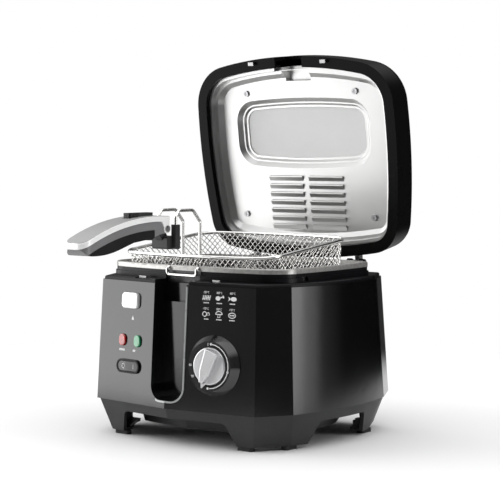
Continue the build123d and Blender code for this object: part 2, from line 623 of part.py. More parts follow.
def make_plate_posts():
    """Bosses inside the lid that the plate's screws go into."""
    z0, z1 = FIELD_Z + SHEET + 0.05, LID_TOP_Z - LID_WALL
    posts = [Pos(x, y, (z0 + z1) / 2) * (Cylinder(4.4, z1 - z0) - Cylinder(2.0, z1 - z0)) for x, y in PLATE_SCREWS]
    return swing_open(both_sides(Compound(children=posts)))


def make_hinge_arms():
    """Arms from the lid's rear wall to the hinge pins."""
    x0, x1 = 64.6, 69.6
    arm = rod_x(x0, x1, HINGE_Y, HINGE_Z, 4.4) + block(x0, x1, 98.4, HINGE_Y, HINGE_Z - 2.5, HINGE_Z + 4.4)
    arm -= rod_x(x0 - 1, x1 + 1, HINGE_Y, HINGE_Z, 2.06)
    return swing_open(both_sides(arm))


def make_lid_catches():
    """Two small hooks inside the lid's front edge."""
    catch = block(43.6, 50.4, -107.0, -104.2, LID_RIM_Z - 3.6, LID_RIM_Z - 0.05)
    catch += block(43.6, 50.4, -107.0, -103.4, LID_RIM_Z - 3.6, LID_RIM_Z - 2.4)
    return swing_open(both_sides(catch))


# ================================================================ basket pieces
def tilt_basket(shape):
    about = Axis((0, BASKET_FRONT, BASKET_RIM_Z), (1, 0, 0))
    return shape.rotate(about, BASKET_TILT)


def basket_plan(inset=0.0):
    """Basket outline: straight sides, bowed front and rear, round corners."""
    half, front, rear = BASKET_HALF - inset, BASKET_FRONT + inset, BASKET_REAR - inset
    with BuildSketch() as sketch:
        with BuildLine():
            ThreePointArc((-half, front), (0, front - BASKET_BOW), (half, front))
            Line((half, front), (half, rear))
            ThreePointArc((half, rear), (0, rear + BASKET_BOW), (-half, rear))
            Line((-half, rear), (-half, front))
        make_face()
        fillet(sketch.vertices(), radius=BASKET_CORNER - inset)
    return sketch.sketch


def basket_ring(z, inset, radius):
    track = (Pos(0, 0, z) * basket_plan(inset)).wires()[0]
    start = Plane(origin=track @ 0, z_dir=track % 0)
    return sweep(start * Circle(radius), path=track)


def make_basket_frame():
    """Top rim wire and the ring round the foot of the basket."""
    top = basket_ring(BASKET_RIM_Z, 0, WIRE_R + 0.2)
    foot = basket_ring(BASKET_RIM_Z - BASKET_DEPTH, BASKET_DRAFT - 0.6, WIRE_R - 0.3)
    return tilt_basket(Compound(children=[top.solid(), foot.solid()]))


def make_basket_mesh():
    """Envelope of the woven wire: thin walls and a floor, open at the top."""
    z0, z1 = BASKET_RIM_Z - BASKET_DEPTH + 0.6, BASKET_RIM_Z - WIRE_R - 0.5
    outer = tapered(basket_plan(BASKET_DRAFT + 1.0), z0, basket_plan(1.6), z1)
    inner = tapered(basket_plan(BASKET_DRAFT + 1.0 + BASKET_SHEET), z0 + BASKET_SHEET,
                    basket_plan(1.6 + BASKET_SHEET), z1 + 0.5)
    return tilt_basket(outer - inner)


def make_handle_wires():
    """Two bent wires that carry the handle in front of the basket."""
    bends = [(LEG_Y, BASKET_RIM_Z - 1.6), (LEG_Y, 215.5), (-94, 227.3), (-115.5, 227.3),
             (-119.6, 221.0), (-119.6, 204.4)]
    wires = [wire([(side * LEG_X, y, z) for y, z in bends], WIRE_R, 4.5) for side in (-1, 1)]
    return Compound(children=[item.solid() for item in wires])


def make_handle_block():
    """Socket block at the ends of the wires, with the tongue that the handle turns on."""
    foot = block(-13.7, 13.7, -123.0, -116.0, 190.5, 203.0)
    foot = fillet(foot.edges().filter_by(Axis.X).group_by(Axis.Z)[0], 2.0)
    nose = block(-9.6, 9.6, -130.5, -123.0, 190.5, 203.0)
    nose = fillet(nose.edges().filter_by(Axis.X).group_by(Axis.Y)[0], 2.4)
    sockets = [block(s * LEG_X - 2.9, s * LEG_X + 2.9, -122.6, -116.4, 203.0, 214.0) for s in (-1, 1)]
    tongue = Pos(-4, 0, 0) * extrude(make_face(Plane.YZ * Polyline(
        (-130.5, 199.0), (-123.5, 203.0), (-129.0, 211.5), (-131.0, 214.0), (-138.0, 214.0), (-139.0, 208.0),
        (-130.5, 199.0))), 8)
    body = foot + nose + sockets[0] + sockets[1] + tongue
    body -= rod_x(-10, 10, PIVOT_Y, PIVOT_Z, PIVOT_R)
    for side in (-1, 1):
        body -= Pos(side * LEG_X, -119.6, 212.0) * Cylinder(WIRE_R + 0.05, 15.4)
    return body


# ================================================================ handle pieces
def handle_top_line():
    """The handle's top line in side view, from its rear end to its tip."""
    rear, knee, tip = (GRIP_REAR_Y, 222.6), (-150.0, 223.2), (GRIP_TIP_Y, 201.0)
    return Line(rear, knee) + ThreePointArc(knee, (-200.0, 217.4), tip)


def handle_profile():
    """Side view of the whole handle as a face in the YZ plane."""
    with BuildSketch(Plane.YZ) as sketch:
        with BuildLine():
            add(handle_top_line())
            Line((GRIP_TIP_Y, 201.0), (GRIP_TIP_Y, 196.5))
            ThreePointArc((GRIP_TIP_Y, 196.5), (-243.5, 191.2), (-238.0, 189.0))
            ThreePointArc((-238.0, 189.0), (-220.0, 189.4), (-200.0, 193.4))
            Polyline((-200.0, 193.4), (-181.0, 199.0), (-165.0, 200.8), (-156.0, 200.4), (-150.0, 204.2),
                     (-141.0, 206.0), (GRIP_REAR_Y, 206.8), (GRIP_REAR_Y, 222.6))
        make_face()
    return sketch.sketch


def under_top_line(drop):
    """Everything lower than the handle's top line by drop."""
    low = 150.0
    with BuildSketch(Plane.YZ) as sketch:
        with BuildLine():
            add(handle_top_line())
            Polyline((GRIP_TIP_Y, 201.0), (GRIP_TIP_Y - 8, 197.5), (GRIP_TIP_Y - 8, low), (GRIP_REAR_Y, low),
                     (GRIP_REAR_Y, 222.6))
        make_face()
    return Pos(-30, 0, -drop) * extrude(sketch.sketch, 60)


def handle_plan(grow=0.0):
    """The handle's outline seen from above, as a tall block with a round nose."""
    half, middle = GRIP_HALF + grow, (GRIP_TIP_Y + GRIP_REAR_Y) / 2
    length = GRIP_REAR_Y - GRIP_TIP_Y + 2 * grow
    nose = Pos(0, middle, 205) * extrude(RectangleRounded(2 * half, length, GRIP_NOSE_R + grow), 60, both=True)
    return nose + block(-half, half, -170, GRIP_REAR_Y, 145, 265)


def handle_solid():
    """The profile across the handle's width, hollow at the rear for the block's nose and tongue."""
    solid = Pos(-GRIP_HALF, 0, 0) * extrude(handle_profile(), 2 * GRIP_HALF) & handle_plan()
    hollow = block(-10.8, 10.8, -166, -120, 180, 213.0) + block(-4.6, 4.6, -142.0, -120, 200, 217.0)
    return solid - hollow


def make_handle_grip():
    """Silver top of the handle, with the track that the slider runs in."""
    track = block(-5.2, 5.2, -178.5, -139.0, 220.2, 235)
    return handle_solid() - under_top_line(TRIM_DROP) - track


def handle_underside():
    return under_top_line(BASE_DROP) & block(-40, 40, -260, BASE_REAR_Y, 140, 260)


def make_handle_side():
    """Grey middle of the handle, which turns on the pivot pin."""
    side = (handle_solid() & under_top_line(TRIM_DROP)) - handle_underside()
    return side - rod_x(-30, 30, PIVOT_Y, PIVOT_Z, PIVOT_R)


def make_handle_base():
    return handle_solid() & handle_underside()


def make_handle_trim():
    """Bright band round the handle's sides and nose, running back into a pivot lug on each side."""
    band = (handle_plan(TRIM_THICK) - handle_plan()) & under_top_line(0.4)
    band -= under_top_line(TRIM_DROP + 0.4)
    band -= block(-40, 40, GRIP_REAR_Y, GRIP_REAR_Y + 10, 140, 260)
    outer = GRIP_HALF + TRIM_THICK
    neck = Polyline((-143.0, 218.5), (-138.6, 210.6), (-131.6, 210.6), (-132.2, 218.5), (-143.0, 218.5))
    lug = Pos(GRIP_HALF, 0, 0) * extrude(make_face(Plane.YZ * neck), TRIM_THICK)
    lug += rod_x(GRIP_HALF, outer, PIVOT_Y, PIVOT_Z, 4.4)
    hole = rod_x(-30, 30, PIVOT_Y, PIVOT_Z, PIVOT_R)
    return band + lug + mirror(lug, about=Plane.YZ) - hole


def make_pivot_pin():
    half = GRIP_HALF + TRIM_THICK
    pin = rod_x(-half, half, PIVOT_Y, PIVOT_Z, PIVOT_R - 0.05)
    heads = [rod_x(*sorted((s * half, s * (half + 1.1))), PIVOT_Y, PIVOT_Z, 3.1) for s in (-1, 1)]
    return pin + heads[0] + heads[1]


def make_handle_slider():
    pad = block(-4.8, 4.8, -177.0, -144.2, 220.5, 226.2)
    pad = fillet(pad.edges().filter_by(Axis.Z), 2.0)
    for k in range(4):
        pad -= block(-6, 6, -174.5 + 2.4 * k, -173.3 + 2.4 * k, 225.5, 228)
    return pad


# ================================================================ writing the pieces
PARTS = {
    "housing": make_housing, "base_skirt": make_base_skirt, "foot_pads": make_foot_pads,
    "bottom_plate": make_bottom_plate, "base_screws": make_base_screws, "screw_posts": make_screw_posts,
    "deck_collar": make_deck_collar, "catch_tabs": make_catch_tabs, "recess_trim": make_recess_trim,
    "hinge_brackets": make_hinge_brackets, "hinge_pins": make_hinge_pins, "hinge_spring": make_hinge_spring,
    "oil_pan": make_oil_pan, "basket_rest": make_basket_rest, "heating_element": make_heater,
    "heat_shield": make_heat_shield, "thermostat": make_thermostat, "thermal_fuse": make_thermal_fuse,
    "terminal_block": make_terminal_block, "cord_inlet": make_cord_inlet,
    "knob_ring": make_knob_ring, "knob": make_knob, "knob_shaft": make_knob_shaft,
    "switch_bezel": make_switch_bezel, "switch_body": make_switch_body, "switch_rocker": make_switch_rocker,
    "release_button": make_release_button, "button_spring": make_button_spring, "latch_bar": make_latch,
    "red_lamp": lambda: make_lamp(RED_AT), "green_lamp": lambda: make_lamp(GREEN_AT),
    "lamp_holders": make_lamp_holders,
    "lid_shell": make_lid_shell, "lid_plate": make_lid_plate, "window_inner": make_window_inner,
    "window_outer": make_window_outer, "window_gasket": make_window_gasket,
    "grease_filter": make_grease_filter, "carbon_filter": make_carbon_filter,
    "plate_screws": make_plate_screws, "plate_posts": make_plate_posts, "hinge_arms": make_hinge_arms,
    "lid_catches": make_lid_catches,
    "basket_frame": make_basket_frame, "basket_mesh": make_basket_mesh, "handle_wires": make_handle_wires,
    "handle_block": make_handle_block,
    "handle_grip": make_handle_grip, "handle_side": make_handle_side, "handle_base": make_handle_base,
    "handle_trim": make_handle_trim,
    "pivot_pin": make_pivot_pin, "handle_slider": make_handle_slider,
}

os.makedirs("parts", exist_ok=True)
for name, make in PARTS.items():
    export_step(make(), f"parts/{name}.step")
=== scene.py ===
"""Looks of the deep fryer: materials, woven basket, printed marks, floor, lights and camera.

Metres, in the frame of the CAD model: +Z up, front towards -Y, origin on the floor under the housing.
"""
import json
from math import asin, cos, hypot, pi, radians, sin, sqrt

import bpy
from mathutils import Matrix, Vector


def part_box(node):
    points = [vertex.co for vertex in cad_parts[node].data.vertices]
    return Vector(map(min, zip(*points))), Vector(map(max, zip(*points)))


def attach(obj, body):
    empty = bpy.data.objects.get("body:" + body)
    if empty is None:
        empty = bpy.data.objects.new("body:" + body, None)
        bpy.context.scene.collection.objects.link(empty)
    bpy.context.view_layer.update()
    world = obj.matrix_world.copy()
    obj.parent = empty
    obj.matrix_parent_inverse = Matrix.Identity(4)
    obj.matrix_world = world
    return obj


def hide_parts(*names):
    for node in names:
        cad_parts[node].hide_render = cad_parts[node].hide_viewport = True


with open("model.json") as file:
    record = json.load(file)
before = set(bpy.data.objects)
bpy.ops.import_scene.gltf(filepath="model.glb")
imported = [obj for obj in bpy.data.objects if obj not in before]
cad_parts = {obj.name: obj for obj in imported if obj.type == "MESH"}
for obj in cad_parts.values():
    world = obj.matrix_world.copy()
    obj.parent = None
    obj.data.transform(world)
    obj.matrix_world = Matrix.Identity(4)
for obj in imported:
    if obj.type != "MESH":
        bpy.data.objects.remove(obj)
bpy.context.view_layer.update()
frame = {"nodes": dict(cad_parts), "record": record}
NODES = frame["nodes"]
JOINTS = {joint["name"]: joint for joint in frame["record"]["behaviour"]["joints"]}
SLOT_OF = {part["node"]: part["material_slot"] for part in frame["record"]["subparts"]}
MM = 0.001
SLIDER_PAD_Y = -166 * MM


# ================================================================ material tools
class Shader:
    """A material under construction: its Principled shader and a few node recipes."""

    def __init__(self, name, color, rough, metal=0.0, **sockets):
        self.material = bpy.data.materials.new("look_" + name)
        self.material.use_nodes = True
        self.nodes = self.material.node_tree.nodes
        self.links = self.material.node_tree.links
        self.bsdf = self.nodes["Principled BSDF"]
        self.color = color
        self.rough = rough
        self.height = None
        self.set("Base Color", (*color, 1.0))
        self.set("Roughness", rough)
        self.set("Metallic", metal)
        for socket, value in sockets.items():
            self.set(socket.replace("_", " "), value)
        place = self.nodes.new("ShaderNodeTexCoord")
        self.place = place.outputs["Object"]

    def set(self, socket, value):
        self.bsdf.inputs[socket].default_value = value

    def link(self, output, socket):
        self.links.new(output, socket)

    def stretched(self, stretch):
        """Object coordinates scaled by stretch, for grain that runs one way."""
        mapping = self.nodes.new("ShaderNodeMapping")
        mapping.inputs["Scale"].default_value = stretch
        self.link(self.place, mapping.inputs["Vector"])
        return mapping.outputs["Vector"]

    def noise(self, scale, detail=3.0, stretch=None, distortion=0.0):
        """Value noise from 0 to 1, about scale features to the metre."""
        node = self.nodes.new("ShaderNodeTexNoise")
        node.inputs["Scale"].default_value = scale
        node.inputs["Detail"].default_value = detail
        node.inputs["Distortion"].default_value = distortion
        self.link(self.stretched(stretch) if stretch else self.place, node.inputs["Vector"])
        return node.outputs["Fac"]

    def spread(self, value, low, high, start=0.3, end=0.7, smooth=False):
        """Map a value from start..end onto low..high."""
        node = self.nodes.new("ShaderNodeMapRange")
        if smooth:
            node.interpolation_type = "SMOOTHSTEP"
        node.inputs["From Min"].default_value = start
        node.inputs["From Max"].default_value = end
        node.inputs["To Min"].default_value = low
        node.inputs["To Max"].default_value = high
        self.link(value, node.inputs["Value"])
        return node.outputs["Result"]

    def mix(self, factor, first, second):
        """Colour between first and second."""
        node = self.nodes.new("ShaderNodeMix")
        node.data_type = "RGBA"
        self.link(factor, node.inputs[0])
        for socket, value in ((node.inputs[6], first), (node.inputs[7], second)):
            if isinstance(value, tuple):
                socket.default_value = (*value, 1.0)
            else:
                self.link(value, socket)
        return node.outputs[2]

    def mottle(self, scale, amount, stretch=None):
        """Slow change of the base colour over the surface."""
        dark = tuple(c * (1 - amount) for c in self.color)
        light = tuple(min(1.0, c * (1 + amount)) for c in self.color)
        factor = self.spread(self.noise(scale, 4.0, stretch), 0.0, 1.0)
        self.link(self.mix(factor, dark, light), self.bsdf.inputs["Base Color"])
        return self

    def uneven(self, scale, amount, stretch=None):
        """Patches a little smoother or rougher than the rest."""
        value = self.spread(self.noise(scale, 5.0, stretch, 0.4), self.rough - amount, self.rough + amount)
        self.link(value, self.bsdf.inputs["Roughness"])
        return self

    def grain(self, scale, depth, detail=2.0, stretch=None):
        """Fine relief, depth in metres."""
        bump = self.nodes.new("ShaderNodeBump")
        bump.inputs["Distance"].default_value = depth
        bump.inputs["Strength"].default_value = 1.0
        self.link(self.noise(scale, detail, stretch), bump.inputs["Height"])
        if self.height is not None:
            self.link(self.height, bump.inputs["Normal"])
        self.height = bump.outputs["Normal"]
        self.link(self.height, self.bsdf.inputs["Normal"])
        return self


# ================================================================ materials, one for each slot
def gloss_black():
    look = Shader("gloss_black", (0.0035, 0.0035, 0.0037), 0.13, Specular_IOR_Level=0.5)
    return look.uneven(9, 0.025).grain(55, 0.00002, 1.0)


def lid_gloss_black():
    look = Shader("lid_gloss_black", (0.004, 0.004, 0.004), 0.3, Specular_IOR_Level=0.06)
    return look.uneven(12, 0.04).grain(70, 0.00003, 1.0)


def matte_black():
    look = Shader("matte_black", (0.019, 0.019, 0.020), 0.5, Specular_IOR_Level=0.4)
    return look.mottle(60, 0.12).uneven(40, 0.05).grain(2600, 0.00006)


def satin_black():
    look = Shader("satin_black", (0.005, 0.005, 0.006), 0.34, Specular_IOR_Level=0.12)
    return look.uneven(30, 0.05).grain(900, 0.00002)


def rubber():
    return Shader("rubber", (0.012, 0.012, 0.012), 0.75).mottle(90, 0.2).grain(1400, 0.0001)


def zinc_steel():
    look = Shader("zinc_steel", (0.42, 0.42, 0.43), 0.38, 1.0)
    return look.mottle(500, 0.15).grain(2500, 0.00002)


def bright_steel():
    look = Shader("bright_steel", (0.36, 0.36, 0.365), 0.3, 1.0)
    return look.uneven(200, 0.05, (6, 1, 1)).grain(900, 0.00002, 2.0, (8, 1, 1))


def bright_tab():
    look = Shader("bright_tab", (0.36, 0.365, 0.36), 0.4, 1.0)
    return look.mottle(300, 0.1).grain(1200, 0.00002, 2.0, (1, 6, 1))


def pale_trim():
    return Shader("pale_trim", (0.34, 0.35, 0.35), 0.28, 0.4).uneven(60, 0.05).grain(900, 0.00001)


def coated_pan():
    """Dark speckled non-stick coating inside, bare satin metal on the rolled rim."""
    look = Shader("coated_pan", (0.05, 0.05, 0.051), 0.33, 0.55)
    rim_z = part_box("oil_pan")[1].z - 0.0052
    split = look.nodes.new("ShaderNodeSeparateXYZ")
    look.link(look.place, split.inputs[0])
    bare = look.spread(split.outputs["Z"], 0.0, 1.0, rim_z, rim_z + 0.0006)
    fleck = look.spread(look.noise(2200, 1.0), 0.0, 1.0, 0.62, 0.7)
    coat = look.mix(fleck, (0.045, 0.045, 0.047), (0.16, 0.16, 0.165))
    metal = look.mix(look.spread(look.noise(300, 3.0), 0.0, 1.0), (0.30, 0.295, 0.285), (0.42, 0.415, 0.40))
    look.link(look.mix(bare, coat, metal), look.bsdf.inputs["Base Color"])
    return look.uneven(50, 0.06).grain(1500, 0.00002)


def chrome_wire():
    return Shader("chrome_wire", (0.78, 0.775, 0.76), 0.16, 1.0).uneven(160, 0.05).grain(500, 0.00002)


def basket_weave():
    look = Shader("basket_weave", (0.74, 0.73, 0.71), 0.2, 1.0)
    return look.mottle(120, 0.16).uneven(200, 0.06)


def heater_steel():
    """Steel sheath with the straw and blue tints of heat."""
    look = Shader("heater_steel", (0.25, 0.22, 0.19), 0.4, 1.0)
    tint = look.spread(look.noise(25, 3.0), 0.0, 1.0)
    look.link(look.mix(tint, (0.30, 0.24, 0.17), (0.14, 0.15, 0.20)), look.bsdf.inputs["Base Color"])
    return look.grain(1500, 0.00003)


def shield_sheet():
    look = Shader("shield_sheet", (0.6, 0.6, 0.6), 0.4, 1.0)
    return look.mottle(60, 0.1).grain(1000, 0.00002, 2.0, (10, 1, 1))


def switch_plastic():
    return Shader("switch_plastic", (0.03, 0.03, 0.03), 0.5).mottle(80, 0.1).grain(1800, 0.00004)


def knob_ring_gloss():
    look = Shader("knob_ring_gloss", (0.012, 0.012, 0.012), 0.12, Coat_Weight=0.5, Coat_Roughness=0.06)
    return look.uneven(80, 0.03).grain(120, 0.00001, 1.0)


def clear_lens(name, color):
    """Coloured clear plastic with the moulded ribs showing as streaks."""
    look = Shader(name, color, 0.16, Transmission_Weight=0.25, Coat_Weight=0.6, Coat_Roughness=0.05)
    look.mottle(260, 0.45, (1, 1, 0.2))
    return look.uneven(200, 0.04).grain(420, 0.00012, 0.0, (1, 1, 0.1))


def lamp_glass():
    return Shader("lamp_glass", (0.8, 0.75, 0.7), 0.08, Transmission_Weight=0.8).uneven(100, 0.03)


def pressed_aluminium():
    """Satin pressed sheet: soft cloudy sheen with very fine rolled grain."""
    look = Shader("pressed_aluminium", (0.56, 0.56, 0.556), 0.36, 1.0)
    look.mottle(14, 0.035).uneven(22, 0.05)
    return look.grain(1700, 0.000004, 2.0, (6, 1, 1))


def window_glass():
    """Milky near-white glass."""
    look = Shader("window_glass", (0.95, 0.955, 0.95), 0.38, Transmission_Weight=0.25, IOR=1.46)
    return look.mottle(40, 0.03).uneven(30, 0.05)


def filter_felt():
    return Shader("filter_felt", (0.10, 0.10, 0.10), 0.95).mottle(300, 0.5).grain(1500, 0.0006, 4.0)


def handle_grey():
    """Dark plastic of the socket block and the slider, whose front third is a black pad."""
    look = Shader("handle_grey", (0.03, 0.03, 0.032), 0.4, Specular_IOR_Level=0.3)
    split = look.nodes.new("ShaderNodeSeparateXYZ")
    look.link(look.place, split.inputs[0])
    pad = look.spread(split.outputs["Y"], 0.0, 1.0, SLIDER_PAD_Y, SLIDER_PAD_Y + 0.4 * MM)
    grey = look.mix(look.spread(look.noise(50), 0.0, 1.0), (0.024, 0.024, 0.026), (0.032, 0.032, 0.034))
    look.link(look.mix(pad, (0.012, 0.012, 0.012), grey), look.bsdf.inputs["Base Color"])
    return look.uneven(50, 0.05).grain(2400, 0.00004)


def handle_silver():
    """Satin paint with metal flake."""
    look = Shader("handle_silver", (0.40, 0.405, 0.40), 0.36, 0.4)
    return look.mottle(3500, 0.12).uneven(40, 0.05).grain(2600, 0.00001)


def handle_side_grey():
    look = Shader("handle_side_grey", (0.17, 0.17, 0.175), 0.42)
    return look.mottle(50, 0.06).uneven(50, 0.05).grain(2400, 0.00004)


def handle_black():
    look = Shader("handle_black", (0.008, 0.008, 0.008), 0.3, Specular_IOR_Level=0.3)
    return look.mottle(40, 0.1).uneven(30, 0.05).grain(1200, 0.00002)


def handle_chrome():
    """Near-white satin silver of the band round the handle; the near-white, barely metallic colour is a
    painted highlight in place of the bright reflection along the chrome.
    """
    # painted highlight: near-white base with little metal, so the band shows bright under any light
    look = Shader("handle_chrome", (0.93, 0.93, 0.925), 0.32, 0.1)
    return look.mottle(900, 0.03).uneven(60, 0.05)


def knob_silver():
    """Satin silver paint with a fine turned sheen."""
    look = Shader("knob_silver", (0.60, 0.60, 0.61), 0.33, 0.75)
    return look.mottle(4000, 0.05).uneven(60, 0.04).grain(2600, 0.000008)


def rocker_black():
    return Shader("rocker_black", (0.012, 0.012, 0.013), 0.3).uneven(60, 0.05).grain(1500, 0.00002)


def button_silver():
    look = Shader("button_silver", (0.80, 0.80, 0.80), 0.3, 0.25)
    return look.mottle(3500, 0.03).uneven(60, 0.04)


def white_print():
    """Screen-printed white ink, a little thin in places."""
    look = Shader("white_print", (0.72, 0.72, 0.72), 0.55)
    return look.mottle(1400, 0.12).grain(4000, 0.00001)


RECIPES = [gloss_black, lid_gloss_black, matte_black, satin_black, rubber, zinc_steel, bright_steel,
           bright_tab, pale_trim, coated_pan, chrome_wire, basket_weave, heater_steel, shield_sheet,
           switch_plastic, knob_ring_gloss, lamp_glass, pressed_aluminium, window_glass, filter_felt,
           handle_grey, handle_silver, handle_side_grey, handle_black, handle_chrome, knob_silver,
           rocker_black, button_silver]
LOOKS = {recipe.__name__: recipe().material for recipe in RECIPES}
LOOKS["red_lens"] = clear_lens("red_lens", (0.42, 0.012, 0.010)).material
LOOKS["green_lens"] = clear_lens("green_lens", (0.010, 0.26, 0.10)).material
PRINT_WHITE = white_print().material

for name, node in NODES.items():
    node.material_slots[0].material = LOOKS[SLOT_OF[name]]


# ================================================================ mesh tools
def add_piece(name, verts, faces, body, material, smooth=True):
    """A new mesh piece that rides on a CAD body."""
    mesh = bpy.data.meshes.new(name)
    mesh.from_pydata([tuple(v) for v in verts], [], faces)
    mesh.validate()
    for polygon in mesh.polygons:
        polygon.use_smooth = smooth
    mesh.materials.append(material)
    piece = bpy.data.objects.new(name, mesh)
    bpy.context.scene.collection.objects.link(piece)
    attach(piece, body)
    return piece


class Strands:
    """Round wires gathered into one mesh."""

    def __init__(self, sides):
        self.sides = sides
        self.verts = []
        self.faces = []

    def add(self, points, radius):
        """One closed tube along the points."""
        first = len(self.verts)
        side = None
        for k, point in enumerate(points):
            ahead = points[min(k + 1, len(points) - 1)] - points[max(k - 1, 0)]
            ahead.normalize()
            if side is None:
                side = ahead.orthogonal()
            side = (side - ahead * side.dot(ahead)).normalized()
            across = ahead.cross(side)
            for s in range(self.sides):
                turn = 2 * pi * s / self.sides
                self.verts.append(point + (side * cos(turn) + across * sin(turn)) * radius)
        for k in range(len(points) - 1):
            for s in range(self.sides):
                a = first + k * self.sides + s
                b = first + k * self.sides + (s + 1) % self.sides
                self.faces.append((a, b, b + self.sides, a + self.sides))
        last = first + (len(points) - 1) * self.sides
        self.faces.append(tuple(range(first + self.sides - 1, first - 1, -1)))
        self.faces.append(tuple(range(last, last + self.sides)))


# ================================================================ woven basket
WEAVE_WIRE = 0.9 * MM
WEAVE_PITCH = 6.6 * MM
BASKET_TILT = radians(6.5)
BASKET_HALF = 94.5 * MM
BASKET_FRONT = -79.5 * MM
BASKET_REAR = 50.5 * MM
BASKET_BOW = 7.0 * MM
BASKET_RIM_Z = 182.5 * MM
BASKET_CORNER = 20 * MM
BASKET_DEPTH = 70 * MM
BASKET_DRAFT = 8 * MM
RIM_INSET = 1.2 * MM
FLOOR_ROUND = 8 * MM


class BasketShape:
    """The level basket as a surface: distance along its plan outline, and depth under the rim."""

    def __init__(self):
        bow_r = (BASKET_HALF ** 2 + BASKET_BOW ** 2) / (2 * BASKET_BOW)
        core_x = BASKET_HALF - BASKET_CORNER
        lean = asin(core_x / (bow_r - BASKET_CORNER))
        drop = (bow_r - BASKET_CORNER) * cos(lean)
        front_y = BASKET_FRONT - BASKET_BOW + bow_r
        rear_y = BASKET_REAR + BASKET_BOW - bow_r
        turn = pi / 2 - lean
        side = (rear_y + drop) - (front_y - drop)
        # each stretch: centre, radius, first direction, turn
        # a straight one starts beside its centre, and has no radius and its length in place of the turn
        self.stretches = [
            ((0, front_y), bow_r, -pi / 2 - lean, 2 * lean),
            ((core_x, front_y - drop), BASKET_CORNER, -pi / 2 + lean, turn),
            ((core_x, front_y - drop), None, 0.0, side),
            ((core_x, rear_y + drop), BASKET_CORNER, 0.0, turn),
            ((0, rear_y), bow_r, pi / 2 - lean, 2 * lean),
            ((-core_x, rear_y + drop), BASKET_CORNER, pi / 2 + lean, turn),
            ((-core_x, rear_y + drop), None, pi, side),
            ((-core_x, front_y - drop), BASKET_CORNER, pi, turn)]
        self.perimeter = sum(self.run(stretch) for stretch in self.stretches)

    def run(self, stretch):
        """Length of one stretch of the outline."""
        return stretch[3] if stretch[1] is None else stretch[1] * stretch[3]

    def plan(self, along, inset):
        """Point and outward direction on the outline, inset from the rim's."""
        along %= self.perimeter
        inset = min(inset, BASKET_CORNER - 0.8 * MM)
        for stretch in self.stretches:
            if along <= self.run(stretch):
                break
            along -= self.run(stretch)
        centre, radius, start, _ = stretch
        if radius is None:
            out = Vector((cos(start), sin(start)))
            way = Vector((-out.y, out.x))
            return Vector(centre) + out * (BASKET_CORNER - inset) + way * along, out
        turn = start + along / radius
        out = Vector((cos(turn), sin(turn)))
        return Vector(centre) + out * (radius - inset), out

    def placed(self, x, y, z):
        """Tilt the level basket about the front of its rim."""
        spin = Matrix.Rotation(BASKET_TILT, 3, "X")
        pivot = Vector((0, BASKET_FRONT, BASKET_RIM_Z))
        return pivot + spin @ (Vector((x, y, z)) - pivot)

    def wall(self, along, down, offset=0.0):
        """Point on the wall, down below the rim; past the foot it turns under the floor."""
        straight_down = BASKET_DEPTH - FLOOR_ROUND
        inset = RIM_INSET + BASKET_DRAFT * min(down, straight_down) / BASKET_DEPTH
        z = BASKET_RIM_Z - min(down, straight_down)
        lean = 1.0
        if down > straight_down:
            turn = min((down - straight_down) / FLOOR_ROUND, pi / 2)
            inset += FLOOR_ROUND * (1 - cos(turn))
            z -= FLOOR_ROUND * sin(turn)
            lean = cos(turn)
            past = down - straight_down - FLOOR_ROUND * pi / 2
            if past > 0:
                inset += past
        spot, out = self.plan(along, inset)
        spot += out * offset * lean
        return self.placed(spot.x, spot.y, z + offset * (lean - 1))


def weave_walls(shape, strands):
    """Two families of slanting wires that pass over and under each other."""
    count = 2 * round(shape.perimeter / WEAVE_PITCH / 2)
    pitch = shape.perimeter / count
    reach = BASKET_DEPTH - FLOOR_ROUND + FLOOR_ROUND * pi / 2 + 3 * MM
    steps = int(reach / (pitch / 2)) + 1
    for family in (-1, 1):
        for k in range(count):
            points = []
            for step in range(2 * steps + 1):
                half_step = step / 2
                down = half_step * pitch / 2
                along = pitch * (k + 0.25 * (family - 1)) + family * half_step * pitch / 2
                crossing = cos(pi * (half_step + k)) * family
                points.append(shape.wall(along, down, crossing * WEAVE_WIRE * 0.45))
            strands.add(points, WEAVE_WIRE / 2)


def weave_floor(shape, strands):
    """The same diamond weave across the flat floor, cut to the outline."""
    inset = RIM_INSET + BASKET_DRAFT + FLOOR_ROUND + 1.5 * MM
    half_x = BASKET_HALF - inset
    half_y = (BASKET_REAR - BASKET_FRONT) / 2 + BASKET_BOW / 2 - inset
    middle = (BASKET_REAR + BASKET_FRONT) / 2
    corner = 6 * MM
    z = BASKET_RIM_Z - BASKET_DEPTH

    def inside(x, y):
        over_x, over_y = abs(x) - (half_x - corner), abs(y) - (half_y - corner)
        if over_x > 0 and over_y > 0:
            return hypot(over_x, over_y) <= corner
        return abs(x) <= half_x and abs(y) <= half_y

    step = WEAVE_PITCH / sqrt(2) / 2
    reach = int((half_x + half_y) / WEAVE_PITCH / sqrt(2) * 2) + 2
    for family in (-1, 1):
        for k in range(-reach, reach + 1):
            run = []
            for m in range(-4 * reach, 4 * reach + 1):
                across, along = k * WEAVE_PITCH * sqrt(2) / 2, m * step
                x = (along - family * across) / sqrt(2)
                y = (along * family + across) / sqrt(2)
                if not inside(x, y):
                    continue
                lift = WEAVE_WIRE * 0.45 * cos(pi * (m / 2 + k)) * family
                run.append(shape.placed(x, y + middle, z + lift))
            if len(run) > 2:
                strands.add(run, WEAVE_WIRE / 2)


def make_weave():
    shape = BasketShape()
    strands = Strands(5)
    weave_walls(shape, strands)
    weave_floor(shape, strands)
    piece = add_piece("basket_weave", strands.verts, strands.faces, "basket",
                      LOOKS["basket_weave"])
    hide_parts("basket_mesh")


make_weave()


# ================================================================ printed marks
INK = 0.06 * MM


